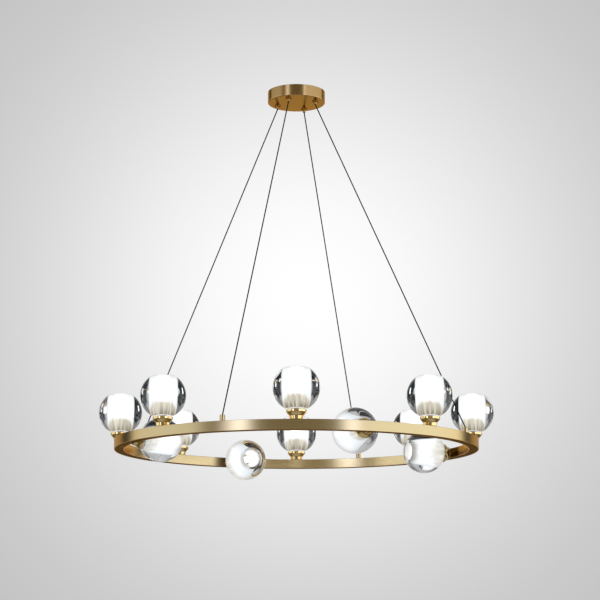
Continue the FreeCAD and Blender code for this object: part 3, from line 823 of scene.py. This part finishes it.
# %% Turn the cups
CUP_HOLE = 5.1
CUP_FLOOR = 2.5
NECK_RADIUS = 15.6
NECK_HEIGHT = 8.0
BOWL_RADIUS = 20.4
BOWL_HEIGHT = 13.0
RIM_RADIUS = 22.0
RIM_WALL = 1.4
RIM_HEIGHT = 15.5
CUP_TOP = 20.0
rim_inner = RIM_RADIUS - RIM_WALL
washer_seat = FOOT_HEIGHT - WASHER
cup_shape = turned(
    [
        (CUP_HOLE, 0, 0),
        (CUP_BASE_RADIUS / MM, 0, 0.5),
        (NECK_RADIUS, NECK_HEIGHT, 1.0),
        (BOWL_RADIUS, BOWL_HEIGHT, 1.0),
        (RIM_RADIUS, RIM_HEIGHT, 1.0),
        (RIM_RADIUS, CUP_TOP, 0.6),
        (rim_inner, CUP_TOP, 0.6),
        (rim_inner, washer_seat, 0),
        (WELL_RADIUS, washer_seat, 0),
        (WELL_RADIUS, CUP_FLOOR, 0),
        (CUP_HOLE, CUP_FLOOR, 0),
    ]
)
for name, place in lamp_seats.items():
    cup_name = "brass_cup_" + name
    piece(
        cup_name, cup_shape, [place], "ring", ["cup_" + name], [polished_brass]
    )
print("cups:", len(lamp_seats), "with", len(cup_shape.faces), "faces each")

# %% [markdown]
# ## Cores, clamp rings and bulbs
#
# The core is a thin white tube with a floor. The clamp ring holds it down, and the bulb
# stands in the socket: a frosted capsule on a collar, with two pins below.

# %% Turn the cores
CORE_CLEARANCE = 0.3
CORE_RECESS = 0.8
CORE_WALL = 1.8
CORE_BASE = 2.0
core_outer = BORE_RADIUS - CORE_CLEARANCE
core_inner = core_outer - CORE_WALL
core_floor = FLOOR_HEIGHT + CORE_BASE
core_top = MOUTH_HEIGHT - CORE_RECESS
core_shape = turned(
    [
        (WELL_RADIUS, FLOOR_HEIGHT, 0),
        (core_outer, FLOOR_HEIGHT, 0.6),
        (core_outer, core_top, 0.5),
        (core_inner, core_top, 0.5),
        (core_inner, core_floor, 0.8),
        (WELL_RADIUS, core_floor, 0),
    ]
)
all_seats = list(lamp_seats.values())
piece("white_cores", core_shape, all_seats, "ring", ["lamp_liners"], [core_white])

print("cores:", len(all_seats))

# %% Turn the clamp rings
SOCKET_RADIUS = 12.5
CLAMP_WIDTH = 5.0
CLAMP_DEPTH = 16.0
clamp_outer = SOCKET_RADIUS + CLAMP_WIDTH
clamp_top = core_floor + CLAMP_DEPTH
clamp_shape = turned(
    [
        (SOCKET_RADIUS, core_floor, 0),
        (clamp_outer, core_floor, 0.4),
        (clamp_outer, clamp_top, 1.6),
        (SOCKET_RADIUS, clamp_top, 0.4),
    ]
)
piece(
    "brass_clamp_rings",
    clamp_shape,
    all_seats,
    "ring",
    ["lamp_clamp_rings"],
    [clamp_brass],
)
print("clamp rings:", len(all_seats))

# %% Make the bulbs
BULB_BASE = 54.3
COLLAR_LENGTH = 14.0
BULB_LENGTH = 44.0
COLLAR_TOP = BULB_BASE + COLLAR_LENGTH
BULB_TOP = BULB_BASE + BULB_LENGTH
COLLAR_RADIUS = 8.5
CAPSULE_RADIUS = 7.2
PIN_THICKNESS = 0.9
PIN_WIDTH = 5.0
PIN_LENGTH = 8.0
PIN_ROOT = 1.0
PIN_SPACING = 9.0


def bulb():
    """A collar and a round-nosed capsule, turned together, and two flat pins."""
    shape = turned(
        [
            (0, BULB_BASE, 0),
            (COLLAR_RADIUS, BULB_BASE, 0.6),
            (COLLAR_RADIUS, COLLAR_TOP, 1.2),
            (CAPSULE_RADIUS, COLLAR_TOP, 0),
            (CAPSULE_RADIUS, BULB_TOP, CAPSULE_RADIUS * 0.98),
            (0, BULB_TOP, 0),
        ],
        sides=SMALL_SIDES,
    )
    glass_start = (COLLAR_TOP - 0.1) * MM
    for face in shape.faces:
        face.material_index = 1 if face.calc_center_median().z > glass_start else 0
    pin_size = Vector((PIN_THICKNESS, PIN_WIDTH, PIN_LENGTH + PIN_ROOT)) * MM
    pin_level = BULB_BASE + (PIN_ROOT - PIN_LENGTH) / 2
    for side in (-1, 1):
        pin = bmesh.ops.create_cube(shape, size=1.0)["verts"]
        bmesh.ops.scale(shape, verts=pin, vec=pin_size)
        middle = Vector((side * PIN_SPACING / 2, 0, pin_level)) * MM
        bmesh.ops.translate(shape, verts=pin, vec=middle)
        for face in {f for v in pin for f in v.link_faces}:
            face.material_index = 2
    return shape


bulb_shape = bulb()
for name, place in lamp_seats.items():
    body = "bulb_" + name
    finishes = [white_ceramic, bulb_glass, steel]
    piece("pin_bulb_" + name, bulb_shape, [place], body, [body], finishes)
print("a bulb has", len(bulb_shape.faces), "faces")

# %% [markdown]
# ## The ring
#
# The ring is a folded channel with slightly broken edges. It is spun in many steps,
# because its long smooth curve would show flat facets in the brushed metal.

# %% Turn the ring
RING_SIDES = 288
RING_WALL = 2.0
RING_EDGE = 0.6
RING_LOW_EDGE = 0.3
inner, outer = RING_INNER / MM, RING_OUTER / MM
top, bottom = RING_TOP / MM, RING_BOTTOM / MM
ring_shape = turned(
    [
        (inner, top, RING_EDGE),
        (inner, bottom, RING_LOW_EDGE),
        (inner + RING_WALL, bottom, 0),
        (inner + RING_WALL, top - RING_WALL, 0),
        (outer - RING_WALL, top - RING_WALL, 0),
        (outer - RING_WALL, bottom, 0),
        (outer, bottom, RING_LOW_EDGE),
        (outer, top, RING_EDGE),
    ],
    sides=RING_SIDES,
)
here = [Matrix.Identity(4)]
piece("brass_ring", ring_shape, here, "ring", ["ring_channel"], [ring_brass])
print("the ring has", len(ring_shape.faces), "faces")

# %% [markdown]
# ## The canopy, its glands and the posts
#
# The canopy is a shallow turned pan. Four glands come through its face, each a flange
# with a tapered nozzle that grips its cable. The posts on the ring take the cables' ends.

# %% Turn the canopy
CANOPY_RADIUS = 68.5
CANOPY_HEIGHT = 27.0
CANOPY_WALL = 1.5
CANOPY_SIDES = 160
canopy_inner = CANOPY_RADIUS - CANOPY_WALL
canopy_floor = CANOPY_WALL - CANOPY_HEIGHT
canopy_shape = turned(
    [
        (0, -CANOPY_HEIGHT, 0),
        (CANOPY_RADIUS, -CANOPY_HEIGHT, 1.8),
        (CANOPY_RADIUS, 0, 0.3),
        (canopy_inner, 0, 0.2),
        (canopy_inner, canopy_floor, 1.0),
        (0, canopy_floor, 0),
    ],
    sides=CANOPY_SIDES,
)
piece("canopy_pan", canopy_shape, here, "canopy", ["canopy_cover"], [canopy_brass])

print("the canopy is %.0f mm across" % (2 * CANOPY_RADIUS))

# %% Turn the glands
GLAND_BORE = 2.1
NOZZLE_TIP = 3.1
NOZZLE_ROOT = 3.9
NOZZLE_HEIGHT = 6.5
FLANGE_RADIUS = 7.0
FLANGE_TOP = 9.0
GLAND_THREAD = 4.0
GLAND_TOP = 14.0
gland_shape = turned(
    [
        (GLAND_BORE, 0, 0.2),
        (NOZZLE_TIP, 0, 0.4),
        (NOZZLE_ROOT, NOZZLE_HEIGHT, 0.3),
        (FLANGE_RADIUS, NOZZLE_HEIGHT, 0.5),
        (FLANGE_RADIUS, FLANGE_TOP, 0),
        (GLAND_THREAD, FLANGE_TOP, 0),
        (GLAND_THREAD, GLAND_TOP, 0.3),
        (GLAND_BORE, GLAND_TOP, 0),
    ],
    sides=SMALL_SIDES,
)
gland_seats = [seat(GLAND_CIRCLE, degrees, GLAND_TIP_LEVEL) for degrees in cable_angles]
piece(
    "gland_nozzles",
    gland_shape,
    gland_seats,
    "canopy",
    ["cable_glands"],
    [gland_brass],
)

print("glands:", len(gland_seats))

# %% Turn the posts
STUD_RADIUS = 3.0
STUD_LENGTH = 6.0
POST_RADIUS = 6.0
HOLE_MOUTH = 2.2
HOLE_RADIUS = 1.5
HOLE_DEPTH = 5.0
post_top = POST_HEIGHT / MM
hole_floor = post_top - HOLE_DEPTH
post_shape = turned(
    [
        (0, -STUD_LENGTH, 0),
        (STUD_RADIUS, -STUD_LENGTH, 0.3),
        (STUD_RADIUS, 0, 0),
        (POST_RADIUS, 0, 0.2),
        (POST_RADIUS, post_top, 0.8),
        (HOLE_MOUTH, post_top, 0.3),
        (HOLE_RADIUS, hole_floor, 0),
        (0, hole_floor, 0),
    ],
    sides=SMALL_SIDES,
)
post_seats = [seat(RING_MIDDLE, degrees, RING_TOP) for degrees in cable_angles]
piece("brass_posts", post_shape, post_seats, "ring", ["cable_posts"], [small_brass])
print("posts:", len(post_seats))

# %% [markdown]
# ## Finishes for the nodes that stay
#
# The remaining nodes already have the right shape, so they keep it and only get a
# material made of nodes in place of the plain colour that came with the frame.

# %% Dress the frame's own nodes
dressed = {
    "ring_cover": shaded_cover_brass,
    "cover_screws": small_brass,
    "cover_standoffs": steel,
    "canopy_side_screws": small_brass,
    "lamp_sockets": porcelain,
    "lamp_gaskets": gasket,
    "lamp_nipples": steel,
    "lamp_locknuts": steel,
    "post_nuts": steel,
    "gland_nuts": small_brass,
    "ceiling_bracket": steel,
    "terminal_block": terminal,
    "canopy_leads": wire,
    "ring_harness": wire,
}
for name, material in dressed.items():
    for material_slot in frame["nodes"][name].material_slots:
        material_slot.material = material
print("dressed nodes:", len(dressed))

# %% [markdown]
# ## Floor, light and background
#
# The photograph has a plain pale background, brightest behind the middle of the lamp. It
# is a world, and the camera sees nothing else of it. Glass and metal see the same pale
# background behind the lamp, and elsewhere dark walls with bright upright panels, which
# draw the dark edges and white lines in the balls and the bands on the ring. Everything
# dull is lit by an even pale light and two soft lamps.
#
# The floor lies well below the lamp. Only the camera and dull surfaces see it. Its tone is
# lifted for the camera so that it goes on from the background, and it has one side, so
# that the lamp can be seen from below.

# %% Lay the floor
FLOOR_LEVEL = -2.4
FLOOR_REACH = 30.0
FLOOR_LIFT = (0.09, 0.09, 0.09, 1)
floor_shape = bmesh.new()
bmesh.ops.create_grid(floor_shape, x_segments=1, y_segments=1, size=FLOOR_REACH)
bmesh.ops.translate(floor_shape, verts=floor_shape.verts, vec=(0, 0, FLOOR_LEVEL))
floor_mesh = bpy.data.meshes.new("studio_floor")
floor_shape.to_mesh(floor_mesh)
floor = bpy.data.objects.new("studio_floor", floor_mesh)
scene.collection.objects.link(floor)
floor.visible_glossy = False
floor.visible_transmission = False
ground = finish("pale_floor")
drift = ground.noise(ground.place(), 1.0, 4.0)
seen = ground.add("ShaderNodeLightPath", output="Is Camera Ray")
from_below = ground.add("ShaderNodeNewGeometry", output="Backfacing")
pale_ground = ground.add(
    "ShaderNodeBsdfPrincipled",
    inputs={
        "Base Color": ground.mix(drift, (0.66, 0.66, 0.66, 1), (0.70, 0.70, 0.70, 1)),
        "Roughness": 0.85,
        "Emission Color": ground.mix(seen, (0, 0, 0, 1), FLOOR_LIFT),
        "Emission Strength": 1.0,
    },
)
one_sided = ground.add(
    "ShaderNodeMixShader",
    inputs={0: from_below, 1: pale_ground, 2: ground.add("ShaderNodeBsdfTransparent")},
)
floor_mesh.materials.append(ground.end(one_sided))
print("floor at %.1f m" % FLOOR_LEVEL)

# %% The pale background
studio = Finish(bpy.data.worlds.new("studio"))
scene.world = studio.owner
x, y, z = studio.apart(studio.add("ShaderNodeTexCoord", output="Generated"))
BRIGHT_WAY = (0.0062, 0.9812, 0.193)
BACKDROP_FALL = 82
BACKDROP_EDGE = 0.5
nearness = x * BRIGHT_WAY[0] + y * BRIGHT_WAY[1] + z * BRIGHT_WAY[2]
backdrop = ((nearness - 1) * BACKDROP_FALL).exp() * (1 - BACKDROP_EDGE) + BACKDROP_EDGE
pale = studio.add("ShaderNodeCombineColor", inputs={0: backdrop, 1: backdrop, 2: backdrop})

print("background: white behind the lamp, %.1f at the edges" % BACKDROP_EDGE)

# %% [markdown]
# The walls go by their bearing: 0 is behind the lamp, 90 is to its right and 180 is behind
# the camera. Between the bright panels there are dark gaps and dim walls.

# %% The walls and their panels
GAP = (0.004, 0.005, 0.006)
DIM_WALL = (0.28, 0.25, 0.18)
LEFT_PANEL = (1.02, 1.06, 1.08)
RIGHT_PANEL = (1.42, 1.48, 1.50)
FRONT_PANEL = (2.4, 2.6, 3.4)
wall_stops = [
    (-180, DIM_WALL),
    (-154, DIM_WALL),
    (-148, FRONT_PANEL),
    (-143, FRONT_PANEL),
    (-132, DIM_WALL),
    (-126, DIM_WALL),
    (-114, LEFT_PANEL),
    (-60, LEFT_PANEL),
    (-53, GAP),
    (51, GAP),
    (58, RIGHT_PANEL),
    (134, RIGHT_PANEL),
    (139, LEFT_PANEL),
    (144, FRONT_PANEL),
    (148, FRONT_PANEL),
    (154, DIM_WALL),
    (180, DIM_WALL),
]
bearing = studio.bearing(x, y) * (180 / math.pi)
walls = studio.add(
    "ShaderNodeValToRGB",
    {"stops": [(degrees / 360 + 0.5, colour) for degrees, colour in wall_stops]},
    {0: bearing / 360 + 0.5},
)
print("wall colours at", len(wall_stops), "bearings")

# %% [markdown]
# The rest goes by height, from 1 straight up to -1 straight down. The walls fade above the
# horizon to a grey ceiling. Under them is a low wall, brown in reflections and dark
# through glass, and straight below it is grey. Rays bent by glass see the sides as dark,
# and a narrow bright strip stands on each side.

# %% Ceiling, low wall and strips
BLACK = (0, 0, 0, 1)
DARK = (*GAP, 1)
CEILING = (0.25, 0.25, 0.25, 1)
LOW_WALL = (0.12, 0.10, 0.07, 1)
UNDERSIDE = (0.35, 0.35, 0.35, 1)
STRIP = (2.0, 2.0, 2.0, 1)
EVEN_LIGHT = (0.62, 0.62, 0.62, 1)
STRIP_BEARING = 52
STRIP_LEVEL = -0.10
ways = studio.add("ShaderNodeLightPath").socket.node
seen = Value(studio, ways.outputs["Is Camera Ray"])
dull = Value(studio, ways.outputs["Is Diffuse Ray"])
bent = Value(studio, ways.outputs["Is Transmission Ray"])
aside = bearing.size()
depth = z * -1
around = studio.mix(z.rise(0.15, 0.30, 0.0, 0.55), walls, BLACK)
around = studio.mix(z.rise(0.38, 0.55), around, CEILING)
around = studio.mix(depth.rise(0.25, 0.40), around, studio.mix(bent, LOW_WALL, DARK))
behind_lamp = aside.rise(34, 44, 1, 0) * depth.rise(0.34, 0.42, 1, 0)
around = studio.mix(behind_lamp, around, pale)
around = studio.mix(depth.rise(0.70, 0.85), around, UNDERSIDE)
at_sides = bent * aside.rise(27, 34) * z.size().rise(0.30, 0.45, 1, 0)
around = studio.mix(at_sides, around, DARK)
strip_width = (aside - STRIP_BEARING).size().rise(1.8, 3.0, 1, 0)
strip_height = (z - STRIP_LEVEL).size().rise(0.10, 0.13, 1, 0)
around = studio.mix(strip_width * strip_height, around, STRIP)
around = studio.mix(dull, around, EVEN_LIGHT)
studio.end(
    studio.add("ShaderNodeBackground", inputs={"Color": studio.mix(seen, around, pale)}),
    "ShaderNodeOutputWorld",
)
print("world:", len(studio.tree.nodes), "nodes")

# %% Hang two soft lamps
for name, place, power, width in (
    ("key_panel", (-1.6, -2.2, 0.6), 38.0, 1.6),
    ("fill_panel", (2.2, -1.4, -0.2), 20.0, 1.8),
):
    data = bpy.data.lights.new(name, "AREA")
    data.energy = power
    data.size = width
    panel = bpy.data.objects.new(name, data)
    panel.location = place
    aim = Vector((0, 0, RING_LEVEL)) - Vector(place)
    panel.rotation_euler = aim.to_track_quat("-Z", "Y").to_euler()
    panel.visible_glossy = False
    scene.collection.objects.link(panel)
    print(name, power, "W")
